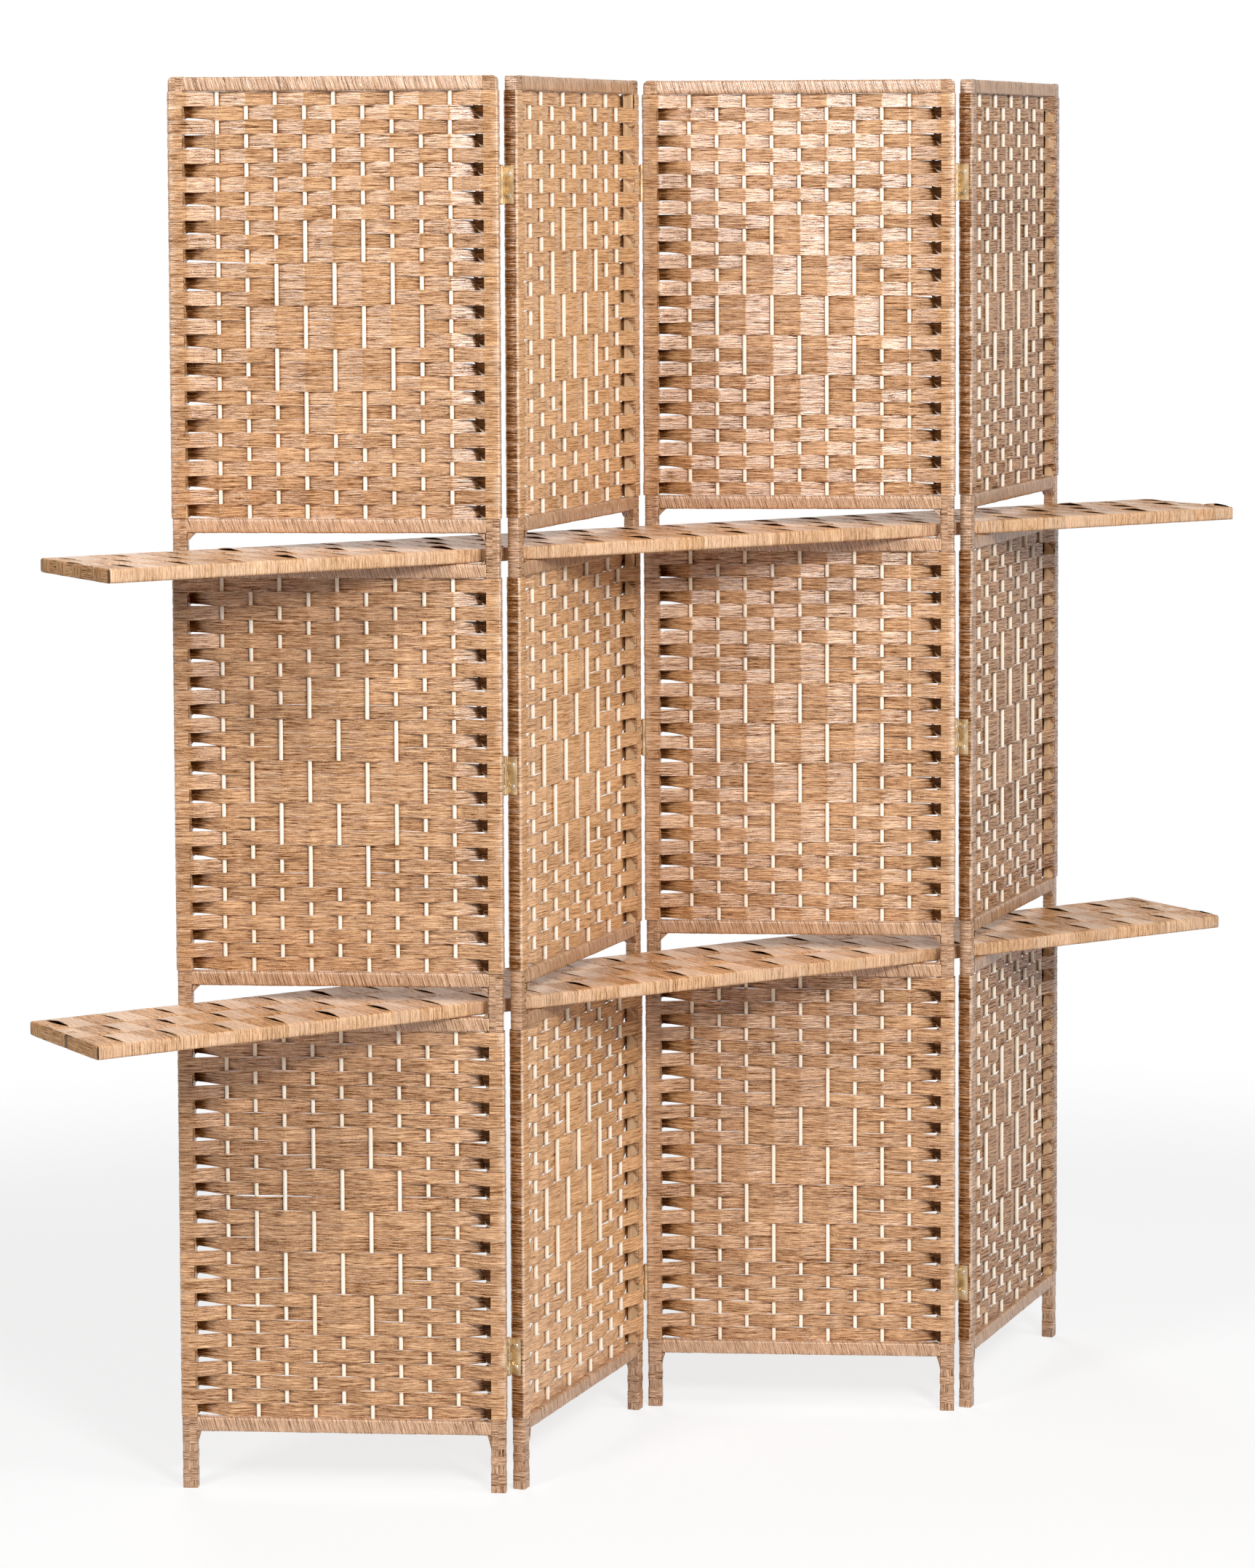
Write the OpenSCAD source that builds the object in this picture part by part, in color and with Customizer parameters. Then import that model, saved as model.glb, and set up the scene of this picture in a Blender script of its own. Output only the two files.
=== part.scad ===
// Four-panel folding screen. Raffia is woven over upright sticks in wooden frames, and two long
// shelves pass through slots in the panels. Millimetres, +Z up, +X along the shelves.
// The origin is on the floor, under the middle of the whole.

/* [Screen] */
// Height of the screen
screen_h = 1700; // [1660:1:1900]
// Width of one panel over its outer edges
panel_w = 394; // [385:1:480]
// Angle between each panel and the shelves
stand_angle = 36.3; // [36:0.1:60]
// Gap between the edges of two panels at a hinge
joint_gap = 3.2; // [2.6:0.1:6]

/* [Frame] */
// Width of a stile over its binding
stile_w = 18.2; // [16:0.1:26]
// Height of a rail over its binding
rail_h = 17.5; // [14:0.1:20]
// Depth of stiles and rails over their binding
frame_d = 15.5; // [13:0.1:24]
// Thickness of the raffia binding
wrap_t = 0.9; // [0.5:0.1:1.5]
// Radius of the long edges of the binding
edge_r = 2.4; // [1.8:0.1:4]
// Radius of the two top corners of a panel
crown_r = 7; // [4:0.5:12]
// Clear height of a shelf slot
slot_h = 36; // [28:0.5:45]

/* [Corner bindings] */
// Reach of a slot's upper corner binding along the rail
upper_corner_w = 9; // [4:0.5:12]
// Reach of a slot's upper corner binding down the stile
upper_corner_h = 9; // [4:0.5:12]
// Size of a slot's lower corner binding
lower_corner = 6; // [3:0.5:6.5]
// Reach of a leg's corner binding along the bottom rail
leg_corner_w = 4; // [2:0.5:10]
// Reach of a leg's corner binding down the leg
leg_corner_h = 14; // [5:0.5:30]

/* [Weave] */
// Wefts in the upper field
upper_rows = 30; // [28:1:31]
// Wefts in the middle field
middle_rows = 28; // [26:1:29]
// Wefts in the lower field
lower_rows = 28; // [26:1:29]
// Height taken by one weft
row_h = 16.9; // [15:0.1:17.2]
// Gap between two wefts
row_gap = 0.6; // [0.3:0.1:2]
// Thickness of a weft
weft_t = 0.9; // [0.6:0.1:1.2]
// Thickness of the turns that the wefts make round the stiles
turn_t = 0.8; // [0.5:0.1:0.8]
// Reach of the turns over the front and the back of a stile
turn_reach = 7; // [5:0.5:12]
// Diameter of a stick
stick_d = 5; // [3.5:0.1:7]
// Distance between two sticks
stick_pitch = 34.7; // [33:0.1:36]

/* [Shelves] */
// Length of a shelf
shelf_l = 1640; // [1450:1:1800]
// Depth of a shelf from front to back
shelf_w = 185; // [120:1:187]
// Thickness of a shelf
shelf_t = 16.3; // [12:0.1:22]
// Thickness of the woven cover
cover_t = 1.2; // [0.8:0.1:2]
// Radius of a shelf's long edges
shelf_edge_r = 3; // [2.2:0.1:5]
// Width of one band of the woven cover
cover_band = 34.9; // [25:0.1:50]
// Shift of the bands from one third of the depth to the next
band_shift = 6.5; // [0:0.1:10]
// Distance of the first slit between two bands from the shelf's left end
first_slit = 20; // [10:0.5:40]
// Greatest width of a slit
slit_w = 1.8; // [1:0.1:3]
// Distance between the slits of one third of the depth and those of the next
slit_gap = 9; // [4:0.5:20]
// Width of a shelf's front and back rails
shelf_rail_w = 22; // [15:0.5:40]
// Width of a shelf's middle rail
mid_rail_w = 16; // [10:0.5:40]
// Width of a shelf's cross-bars
crossbar_w = 20; // [12:0.5:60]
// Stations with cross-bars along a shelf
crossbar_stations = 5; // [2:1:8]
// Middle of the upper shelf, measured along +X from the middle of the screen
upper_shelf_x = -22; // [-100:1:100]
// Middle of the lower shelf, measured along +X from the middle of the screen
lower_shelf_x = -43; // [-100:1:100]

/* [Hinges] */
// Height of a hinge
hinge_h = 45; // [35:0.5:70]
// Width of a leaf, from the pin's axis to its free edge
leaf_w = 15.5; // [14:0.1:17]
// Thickness of a leaf
leaf_t = 1.2; // [0.8:0.1:1.3]
// Outer diameter of a knuckle
knuckle_d = 5.2; // [4.6:0.1:6]
// Diameter of a hinge pin
pin_d = 3; // [2:0.1:3.6]
// Distance of the pin's axis beyond the face of the panel
pin_offset = 2; // [1.5:0.1:5]
// Height of the lowest hinge's middle above the floor
low_hinge_z = 163; // [140:1:300]
// Distance between the middles of two hinges, one above the other
hinge_pitch = 704; // [600:1:720]
// Diameter of a screw's shank
screw_d = 2.8; // [2:0.1:3.5]
// Length of a screw under its head
screw_l = 12; // [8:0.5:15]
// Diameter of a screw's head
screw_head_d = 6.4; // [5:0.1:7]
// Height of a screw's head above the leaf
screw_head_h = 0.9; // [0.5:0.1:1.2]
// Distance between the two screws of a leaf
screw_pitch = 26; // [20:0.5:60]

/* [Clearances] */
// Gap between the binding of a rail and the binding of a stile
binding_gap = 0.1; // [0.05:0.05:0.5]
// Gap under a shelf in its slots
shelf_rest = 0.2; // [0.1:0.1:0.8]
// Gap between a weft and a stick that it passes
weft_fit = 0.15; // [0.05:0.05:0.3]
// Lift of a weft off the stile that it crosses
weft_lift = 0.05; // [0.02:0.01:0.2]
// Gap between a pin and the bore of its knuckles, on the radius
pin_fit = 0.06; // [0.03:0.01:0.1]
// Gap between a screw and its hole, on the radius
screw_fit = 0.05; // [0.02:0.01:0.2]
// Gap between two knuckles, and between a leaf and the knuckles it makes way for
knuckle_gap = 0.4; // [0.2:0.05:0.8]

/* [Hidden] */
panels = 4;
sticks = 9;
fields = ["lower", "middle", "upper"];
knuckles = 5;
pin_head_h = 1.2;
pin_head_d = knuckle_d - 1;
diamond_step = 3;
raffia = "#b98d63";
dark_raffia = "#a97c54";
wood = "#d9b98a";
pale_wood = "#f3dfb6";
brass = "#8d6f3f";
bright_brass = "#b3925a";
$fn = 32;

// Depth of a panel over its wefts
panel_d = frame_d + 2 * (weft_lift + weft_t);

// Inner face of a stile's binding, and the stile's middle, measured from the panel's middle
stile_in = panel_w / 2 - turn_t - stile_w;
stile_x = panel_w / 2 - turn_t - stile_w / 2;

// Size of the wood inside the binding
core_w = stile_w - 2 * wrap_t;
core_d = frame_d - 2 * wrap_t;
core_h = rail_h - 2 * wrap_t;
core_r = edge_r - wrap_t;
rail_l = 2 * (stile_x - core_w / 2);

// Heights: rails 0 to 5, fields 0 to 2 and slots 0 to 1, counted from the floor
rows = [lower_rows, middle_rows, upper_rows];
leg_h = screen_h - 6 * rail_h - 2 * slot_h - row_h * (lower_rows + middle_rows + upper_rows);
function field_h(k) = rows[k] * row_h;
function field_z(k) = k == 0 ? leg_h + rail_h : field_z(k - 1) + field_h(k - 1) + 2 * rail_h + slot_h;
function rail_z(i) = field_z(floor(i / 2)) + (i % 2 == 0 ? -rail_h : field_h(floor(i / 2)));
function slot_z(k) = rail_z(2 * k + 1) + rail_h;

// Axis of a hinge in its panel's own frame
axis_x = (panel_w + joint_gap) / 2;
axis_y = panel_d / 2 + pin_offset;

// Panels stand at equal angles, so their middles lie on the shelves' middle line
panel_pitch = 2 * (axis_x * cos(stand_angle) + axis_y * sin(stand_angle));
screen_x = -(min(upper_shelf_x, lower_shelf_x) + max(upper_shelf_x, lower_shelf_x)) / 2;
function panel_x(n) = screen_x + (n - (panels + 1) / 2) * panel_pitch;
function panel_turn(n) = n % 2 == 1 ? -stand_angle : stand_angle;

// Joints 1 and 3 have their knuckles at the back, joint 2 at the front
function knuckle_side(j) = j == 2 ? -1 : 1;
function joint_name(j) = str(j, "_", j + 1);
function hinge_z(i) = low_hinge_z + i * hinge_pitch;

shelf_names = ["lower_shelf", "upper_shelf"];
shelf_mid_x = [screen_x + lower_shelf_x, screen_x + upper_shelf_x];

panel_pieces = ["left_stile", "right_stile", "rails", "frame_binding", "corner_bindings", "sticks",
    "lower_weave", "middle_weave", "upper_weave"];
hinge_pieces = ["left_leaves", "right_leaves", "pins", "left_screws", "right_screws"];
shelf_pieces = ["rails", "crossbars", "cover"];

function panel_node(n, piece) = str("panel_", n, "_", piece);
function hinge_node(j, piece) = str("hinges_", joint_name(j), "_", piece);
function shelf_node(k, piece) = str(shelf_names[k], "_", piece);

NODES = concat(
    [for (n = [1:panels]) for (p = panel_pieces) panel_node(n, p)],
    [for (j = [1:panels - 1]) for (p = hinge_pieces) hinge_node(j, p)],
    [for (k = [0:1]) for (p = shelf_pieces) shelf_node(k, p)]
);
node = "all";

module place_panel(n) {
    translate([panel_x(n), 0, 0])
        rotate(panel_turn(n))
            children();
}

// Outline of a bar with round edges
module bar_outline(w, d, r) {
    square([w - 2 * r, d], center = true);
    square([w, d - 2 * r], center = true);
    for (x = [-1, 1])
        for (y = [-1, 1])
            translate([x * (w / 2 - r), y * (d / 2 - r)])
                circle(r);
}

// Bar along X, its middle at the origin
module lying_bar(l, d, h, r) {
    rotate([90, 0, 90])
        linear_extrude(l, center = true)
            bar_outline(d, h, r);
}

// What the round top corner of a panel leaves off, for a stile that is inset inside its binding
module crown_cut(side, inset) {
    reach = crown_r + wrap_t;
    translate([side * (stile_x + stile_w / 2 - crown_r), 0, screen_h - crown_r])
        rotate([90, 0, 0])
            linear_extrude(2 * frame_d, center = true)
                difference() {
                    translate([side > 0 ? 0 : -reach, 0])
                        square(reach);
                    circle(crown_r - inset);
                }
}

module stile_core(side) {
    difference() {
        translate([side * stile_x, 0, 0])
            linear_extrude(screen_h - wrap_t)
                bar_outline(core_w, core_d, core_r);
        crown_cut(side, wrap_t);
    }
}

module rail_core(i) {
    translate([0, 0, rail_z(i) + rail_h / 2])
        lying_bar(rail_l, core_d, core_h, core_r);
}

// Shanks of the screws that hold a panel's leaves at one end of the panel
module screw_holes(n, end) {
    joint = end > 0 ? n : n - 1;
    if (joint > 0 && joint < panels)
        screws(end, knuckle_side(joint), screw_fit, false);
}

module stile(n, side) {
    color(wood)
        difference() {
            stile_core(side);
            screw_holes(n, side);
        }
}

module rails() {
    color(wood)
        for (i = [0:5])
            rail_core(i);
}

module stile_binding(n, side) {
    difference() {
        translate([side * stile_x, 0, 0])
            linear_extrude(screen_h)
                bar_outline(stile_w, frame_d, edge_r);
        crown_cut(side, 0);
        stile_core(side);
        for (i = [0:5])
            rail_core(i);
        screw_holes(n, side);
    }
}

module rail_binding(i) {
    translate([0, 0, rail_z(i) + rail_h / 2])
        difference() {
            lying_bar(2 * (stile_in - binding_gap), frame_d, rail_h, edge_r);
            lying_bar(rail_l, core_d, core_h, core_r);
        }
}

module frame_binding(n) {
    color(dark_raffia) {
        for (side = [-1, 1])
            stile_binding(n, side);
        for (i = [0:5])
            rail_binding(i);
    }
}

// Raffia laid slantwise across a corner between a stile and a rail
module corner_binding(side, z, w, h) {
    translate([side * stile_in, 0, z])
        rotate([90, 0, 0])
            linear_extrude(frame_d, center = true)
                polygon([[0, 0], [-side * w, 0], [0, h]]);
}

module corner_bindings() {
    color(raffia)
        for (side = [-1, 1]) {
            corner_binding(side, leg_h, leg_corner_w, -leg_corner_h);
            for (k = [0:1]) {
                corner_binding(side, slot_z(k), lower_corner, lower_corner);
                corner_binding(side, slot_z(k) + slot_h, upper_corner_w, -upper_corner_h);
            }
        }
}

function stick_x(i) = (i - (sticks + 1) / 2) * stick_pitch;

module stick_set() {
    color(pale_wood)
        for (k = [0:2])
            for (i = [1:sticks])
                translate([stick_x(i), 0, field_z(k)])
                    cylinder(d = stick_d, h = field_h(k));
}

// The weave. Rows count down from the top of a field. The second panel starts one row further on
// and has one row fewer in the same height.
function row_number(n, row) = row + (n == 2 ? 1 : 0);
function row_count(n, k) = rows[k] - (n == 2 ? 1 : 0);
function row_pitch(n, k) = field_h(k) / row_count(n, k);

// Rows 10 to 24 of the upper field and rows 8 to 22 of the others make the diamond: its half
// width grows and shrinks by one stick every three rows
function diamond_top(k) = k == 2 ? 10 : 8;
function diamond_half(k, row) =
    let (step = floor((row - diamond_top(k)) / diamond_step))
    step < 0 || step > 4 ? 0 : 3 - abs(step - 2);

// The middle row of each step of three is turned over within the diamond
function is_turned(k, row, i) =
    (row - diamond_top(k)) % diamond_step == 1 && abs(i - (sticks + 1) / 2) <= diamond_half(k, row)
    && diamond_half(k, row) > 0;

// -1 where a weft passes before a stick or a stile, 1 where it passes behind it
function stile_side(row) = row % 2 == 1 ? -1 : 1;
function stick_side(k, row, i) =
    ((row + i) % 2 == 0 ? 1 : -1) * (is_turned(k, row, i) ? -1 : 1);

// Middle line of a weft, from stile to stile
function weft_line(k, row) =
    let (y = stile_side(row) * (frame_d / 2 + weft_lift + weft_t / 2),
         swing = stick_d / 2 + weft_fit + weft_t / 2,
         end_x = panel_w / 2 - turn_reach / 2,
         in_x = stile_in - 2 * weft_t)
    concat(
        [[-end_x, y], [-in_x, y]],
        [for (i = [1:sticks]) [stick_x(i), stick_side(k, row, i) * swing]],
        [[in_x, y], [end_x, y]]
    );

module weft(k, row, h) {
    line = weft_line(k, row);
    last = len(line) - 1;
    linear_extrude(h)
        polygon(concat(
            [for (p = line) p - [0, weft_t / 2]],
            [for (i = [0:last]) line[last - i] + [0, weft_t / 2]]
        ));
}

// The wefts turn round the outer side of a stile from one row to the next
module weft_turns(side, h) {
    linear_extrude(h)
        intersection() {
            translate([side * stile_x, 0])
                difference() {
                    bar_outline(stile_w + 2 * turn_t, frame_d + 2 * turn_t, edge_r + turn_t);
                    bar_outline(stile_w, frame_d, edge_r);
                }
            translate([side * (panel_w - turn_reach) / 2, 0])
                square([turn_reach, 2 * frame_d], center = true);
        }
}

module weave(n, k) {
    color(raffia)
        difference() {
            translate([0, 0, field_z(k)])
                union() {
                    for (side = [-1, 1])
                        weft_turns(side, field_h(k));
                    for (row = [1:row_count(n, k)])
                        translate([0, 0, field_h(k) - row * row_pitch(n, k) + row_gap / 2])
                            weft(k, row_number(n, row), row_pitch(n, k) - row_gap);
                }
            for (end = [-1, 1])
                screw_holes(n, end);
        }
}

// Hinges. A leaf lies on the edge of its panel, at the end given by -1 or 1, and its knuckles
// stand beyond the panel's face at the side given by -1 (front) or 1 (back).
function is_own_knuckle(end, i) = end > 0 ? i % 2 == 0 : i % 2 == 1;
knuckle_h = hinge_h / knuckles;

module leaf_plate(end, side) {
    difference() {
        translate([end * (panel_w + leaf_t) / 2, side * (axis_y - leaf_w / 2), hinge_h / 2])
            cube([leaf_t, leaf_w, hinge_h], center = true);
        for (i = [0:knuckles - 1])
            if (!is_own_knuckle(end, i))
                translate([end * axis_x, side * axis_y, i * knuckle_h - knuckle_gap / 2])
                    cylinder(d = knuckle_d + 2 * knuckle_gap, h = knuckle_h + knuckle_gap);
    }
}

module leaf(end, side) {
    difference() {
        union() {
            leaf_plate(end, side);
            for (i = [0:knuckles - 1])
                if (is_own_knuckle(end, i))
                    translate([end * axis_x, side * axis_y, i * knuckle_h + knuckle_gap / 2])
                        cylinder(d = knuckle_d, h = knuckle_h - knuckle_gap);
        }
        translate([end * axis_x, side * axis_y, -1])
            cylinder(d = pin_d + 2 * pin_fit, h = hinge_h + 2);
    }
}

module leaves(end, side) {
    color(brass)
        difference() {
            for (i = [0:2])
                translate([0, 0, hinge_z(i) - hinge_h / 2])
                    leaf(end, side);
            screws(end, side, screw_fit, false);
        }
}

module pins(side) {
    color(bright_brass)
        for (i = [0:2])
            translate([axis_x, side * axis_y, hinge_z(i) - hinge_h / 2]) {
                cylinder(d = pin_d, h = hinge_h);
                translate([0, 0, -pin_head_h])
                    cylinder(d = pin_head_d, h = pin_head_h);
                translate([0, 0, hinge_h])
                    cylinder(d = pin_head_d, h = pin_head_h);
            }
}

// The screws of one end of a panel, or the holes for them where grow is their clearance
module screws(end, side, grow, headed) {
    for (i = [0:2])
        for (up = [-1, 1])
            translate([
                end * (panel_w / 2 + leaf_t),
                side * (axis_y - (leaf_w + knuckle_d / 2) / 2),
                hinge_z(i) + up * screw_pitch / 2
            ])
                rotate([0, end * 90, 0]) {
                    translate([0, 0, -screw_l])
                        cylinder(d = screw_d + 2 * grow, h = screw_l + grow);
                    if (headed)
                        cylinder(d1 = screw_head_d, d2 = screw_head_d * 0.7, h = screw_head_h);
                }
}

// Shelves
shelf_core_t = shelf_t - 2 * cover_t;
function shelf_z(k) = slot_z(k) + shelf_rest + shelf_t / 2;

module place_shelf(k) {
    translate([shelf_mid_x[k], 0, shelf_z(k)])
        children();
}

// Middle of a shelf's front or back rail, measured from the shelf's middle line
outer_rail_y = shelf_w / 2 - cover_t - shelf_rail_w / 2;

module shelf_rails(k) {
    color(wood)
        place_shelf(k) {
            for (side = [-1, 1])
                translate([0, side * outer_rail_y, 0])
                    lying_bar(shelf_l, shelf_rail_w, shelf_core_t, shelf_edge_r - cover_t);
            cube([shelf_l, mid_rail_w, shelf_core_t], center = true);
        }
}

module shelf_crossbars(k) {
    near_y = mid_rail_w / 2;
    far_y = outer_rail_y - shelf_rail_w / 2;
    step = (shelf_l - crossbar_w) / (crossbar_stations - 1);
    color(dark_raffia)
        place_shelf(k)
            for (i = [0:crossbar_stations - 1])
                for (side = [-1, 1])
                    translate([
                        (crossbar_w - shelf_l) / 2 + i * step,
                        side * (near_y + far_y) / 2,
                        0
                    ])
                        cube([crossbar_w, far_y - near_y, shelf_core_t], center = true);
}

// Pointed slits between the bands of the cover. Each third of the depth, counted from the front,
// has one at every other band, in turn with its neighbours.
module cover_slits() {
    third_d = (shelf_w - 2 * shelf_edge_r) / 3;
    slit_l = third_d - slit_gap;
    bands = floor((shelf_l - 2 * first_slit - 2 * band_shift) / cover_band);
    for (third = [0:2], band = [0:bands])
        if ((third + band) % 2 == 0)
            translate([
                first_slit + (2 - third) * band_shift + band * cover_band - shelf_l / 2,
                (third - 1) * third_d,
                -shelf_t
            ])
                linear_extrude(2 * shelf_t)
                    polygon([[0, -slit_l / 2], [slit_w / 2, 0], [0, slit_l / 2], [-slit_w / 2, 0]]);
}

module shelf_cover(k) {
    color(raffia)
        place_shelf(k)
            difference() {
                lying_bar(shelf_l, shelf_w, shelf_t, shelf_edge_r);
                lying_bar(shelf_l + 2, shelf_w - 2 * cover_t, shelf_core_t, shelf_edge_r - cover_t);
                cover_slits();
            }
}

function is_wanted(name) = node == "all" || node == name;

for (n = [1:panels]) {
    if (is_wanted(panel_node(n, "left_stile"))) place_panel(n) stile(n, -1);
    if (is_wanted(panel_node(n, "right_stile"))) place_panel(n) stile(n, 1);
    if (is_wanted(panel_node(n, "rails"))) place_panel(n) rails();
    if (is_wanted(panel_node(n, "frame_binding"))) place_panel(n) frame_binding(n);
    if (is_wanted(panel_node(n, "corner_bindings"))) place_panel(n) corner_bindings();
    if (is_wanted(panel_node(n, "sticks"))) place_panel(n) stick_set();
    for (k = [0:2])
        if (is_wanted(panel_node(n, str(fields[k], "_weave")))) place_panel(n) weave(n, k);
}

for (j = [1:panels - 1]) {
    side = knuckle_side(j);
    if (is_wanted(hinge_node(j, "left_leaves"))) place_panel(j) leaves(1, side);
    if (is_wanted(hinge_node(j, "pins"))) place_panel(j) pins(side);
    if (is_wanted(hinge_node(j, "left_screws")))
        place_panel(j) color(bright_brass) screws(1, side, 0, true);
    if (is_wanted(hinge_node(j, "right_leaves"))) place_panel(j + 1) leaves(-1, side);
    if (is_wanted(hinge_node(j, "right_screws")))
        place_panel(j + 1) color(bright_brass) screws(-1, side, 0, true);
}

for (k = [0:1]) {
    if (is_wanted(shelf_node(k, "rails"))) shelf_rails(k);
    if (is_wanted(shelf_node(k, "crossbars"))) shelf_crossbars(k);
    if (is_wanted(shelf_node(k, "cover"))) shelf_cover(k);
}
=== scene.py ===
"""Looks of a four-panel folding screen of woven raffia with two long shelves, built round its
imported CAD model. Sizes are in millimetres, as in part.scad, and become metres in the meshes."""

import math

import bpy
import numpy as np
from mathutils import Matrix, Vector


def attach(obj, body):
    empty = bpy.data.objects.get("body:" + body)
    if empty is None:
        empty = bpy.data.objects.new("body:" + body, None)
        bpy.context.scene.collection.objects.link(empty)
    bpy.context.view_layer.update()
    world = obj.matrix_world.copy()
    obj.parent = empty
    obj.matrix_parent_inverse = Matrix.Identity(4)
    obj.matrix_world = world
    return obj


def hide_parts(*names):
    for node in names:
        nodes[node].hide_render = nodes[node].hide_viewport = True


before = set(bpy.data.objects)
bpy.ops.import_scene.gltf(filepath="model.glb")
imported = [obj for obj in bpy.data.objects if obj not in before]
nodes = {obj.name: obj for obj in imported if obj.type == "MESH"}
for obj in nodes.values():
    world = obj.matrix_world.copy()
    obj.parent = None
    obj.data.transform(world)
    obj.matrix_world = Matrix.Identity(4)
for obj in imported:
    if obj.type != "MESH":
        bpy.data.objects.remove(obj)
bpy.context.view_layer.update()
MM = 0.001
METRE = 1000

# Sizes that part.scad sets

SCREEN_H = 1700
PANEL_W = 394
STAND_ANGLE = 36.3  # degrees between a panel and the line of the screen
JOINT_GAP = 3.2
STILE_W = 18.2
RAIL_H = 17.5
FRAME_D = 15.5
EDGE_R = 2.4
CROWN_R = 7  # rounding of the top of a stile
SLOT_H = 36
UPPER_CORNER = (9, 9)  # how far the binding of a slot's upper corner reaches, across and up
LOWER_CORNER = (6, 6)
LEG_CORNER = (4, 14)
ROWS = (28, 28, 30)  # wefts in the lower, middle and upper field
ROW_H = 16.9
WEFT_T = 0.9
WEFT_LIFT = 0.05  # room between a weft and the frame
WEFT_FIT = 0.15  # room between a weft and a stick
TURN_T = 0.8  # thickness of the weft's turns on a stile
STICK_D = 5
STICK_PITCH = 34.7
STICKS = 9
SHELF_L = 1640
SHELF_W = 185
SHELF_T = 16.3
SHELF_EDGE_R = 3
SHELF_REST = 0.2  # room under a shelf
SHELF_X = (-43, -22)  # how far the lower and the upper shelf lie from the middle
PIN_OFFSET = 2  # how far a hinge's axis stands off the panels

# Sizes that follow from them

PANEL_D = FRAME_D + 2 * (WEFT_LIFT + WEFT_T)
STILE_IN = PANEL_W / 2 - TURN_T - STILE_W
STILE_X = PANEL_W / 2 - TURN_T - STILE_W / 2
LEG_H = SCREEN_H - 6 * RAIL_H - 2 * SLOT_H - ROW_H * sum(ROWS)
FIELD_H = [rows * ROW_H for rows in ROWS]
FIELD_Z = [LEG_H + RAIL_H]
for height in FIELD_H[:2]:
    FIELD_Z.append(FIELD_Z[-1] + height + 2 * RAIL_H + SLOT_H)
SLOT_Z = [FIELD_Z[k] + FIELD_H[k] + RAIL_H for k in (0, 1)]
AXIS_X = (PANEL_W + JOINT_GAP) / 2
AXIS_Y = PANEL_D / 2 + PIN_OFFSET
TURN = math.radians(STAND_ANGLE)
PANEL_STEP = 2 * (AXIS_X * math.cos(TURN) + AXIS_Y * math.sin(TURN))
SCREEN_X = -(min(SHELF_X) + max(SHELF_X)) / 2
FIELD_NAMES = ("lower", "middle", "upper")
MIDDLE_PLACE = 2.5  # of the panels 1 to 4


def place_on_panel(number):
    """The matrix that takes a panel's own frame to the screen's."""
    x = SCREEN_X + (number - MIDDLE_PLACE) * PANEL_STEP
    turn = -TURN if number % 2 else TURN
    return Matrix.Translation((x * MM, 0, 0)) @ Matrix.Rotation(turn, 4, "Z")


# Meshes

# What the seeds of the random draws start from
WEAVE_SEED = 100
BINDING_SEED = 500
CORNER_SEED = 700
COVER_SEED = 900
END_SEED = 950
STRAND_SPREAD = 40  # metres of texture over which the pieces' strands start at random
RIM_SHIFT = 0.0004  # metres across the strands from one edge of a rim to the other
BAND_LINES = 6  # lines of points across a strip
YZX = (1, 2, 0)


class Raffia:
    """Gathers grids of points into one mesh. Each point has its place on its strand, in metres
    along and across, its tint, from dark to light, painted shade included, and how pale it is, a
    painted highlight."""

    def __init__(self):
        self.points = []
        self.quads = []
        self.strands = []
        self.tints = []
        self.pales = []
        self.count = 0

    def grid(self, points, strands, tint, pale=0.0):
        shape = points.shape[:2]
        index = np.arange(shape[0] * shape[1]).reshape(shape) + self.count
        corners = (index[:-1, :-1], index[1:, :-1], index[1:, 1:], index[:-1, 1:])
        self.quads.append(np.stack(corners, -1).reshape(-1, 4))
        self.points.append(points.reshape(-1, 3))
        self.strands.append(strands.reshape(-1, 2))
        self.tints.append(np.broadcast_to(tint, shape).ravel())
        self.pales.append(np.broadcast_to(pale, shape).ravel())
        self.count += index.size

    def build(self, name, matrix, finish):
        mesh = bpy.data.meshes.new(name)
        points = np.concatenate(self.points) * MM
        quads = np.concatenate(self.quads)
        mesh.vertices.add(len(points))
        mesh.vertices.foreach_set("co", points.ravel())
        mesh.loops.add(quads.size)
        mesh.loops.foreach_set("vertex_index", quads.ravel())
        mesh.polygons.add(len(quads))
        mesh.polygons.foreach_set("loop_start", np.arange(0, quads.size, 4))
        mesh.update(calc_edges=True)
        layer = mesh.uv_layers.new(name="strand")
        layer.data.foreach_set("uv", np.concatenate(self.strands)[quads.ravel()].ravel())
        for name_of, values in (("tint", self.tints), ("pale", self.pales)):
            layer = mesh.attributes.new(name_of, "FLOAT", "POINT")
            layer.data.foreach_set("value", np.concatenate(values).astype(np.float32))
        mesh.shade_smooth()
        mesh.transform(matrix)
        mesh.materials.append(finish)
        piece = bpy.data.objects.new(name, mesh)
        bpy.context.scene.collection.objects.link(piece)
        return piece


def smooth(t):
    t = np.clip(t, 0, 1)
    return t * t * (3 - 2 * t)


def arch(share):
    """0 at both ends and 1 in the middle."""
    return 1 - (2 * share - 1) ** 2


def rise(value, start, end):
    """0 up to start, and 1 from end on."""
    return np.clip((value - start) / (end - start), 0, 1)


def stack(*parts):
    """Arrays spread to one shape, side by side along a new last axis."""
    return np.stack(np.broadcast_arrays(*parts), -1)


def run_along(path):
    """How far along a path each of its points is."""
    return np.concatenate([[0], np.cumsum(np.linalg.norm(np.diff(path, axis=0), axis=1))])


def somewhere(strands, rng):
    """Places along and across the strands, moved at random and in metres."""
    return (strands + rng.uniform(0, STRAND_SPREAD, 2) * METRE) * MM


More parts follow.
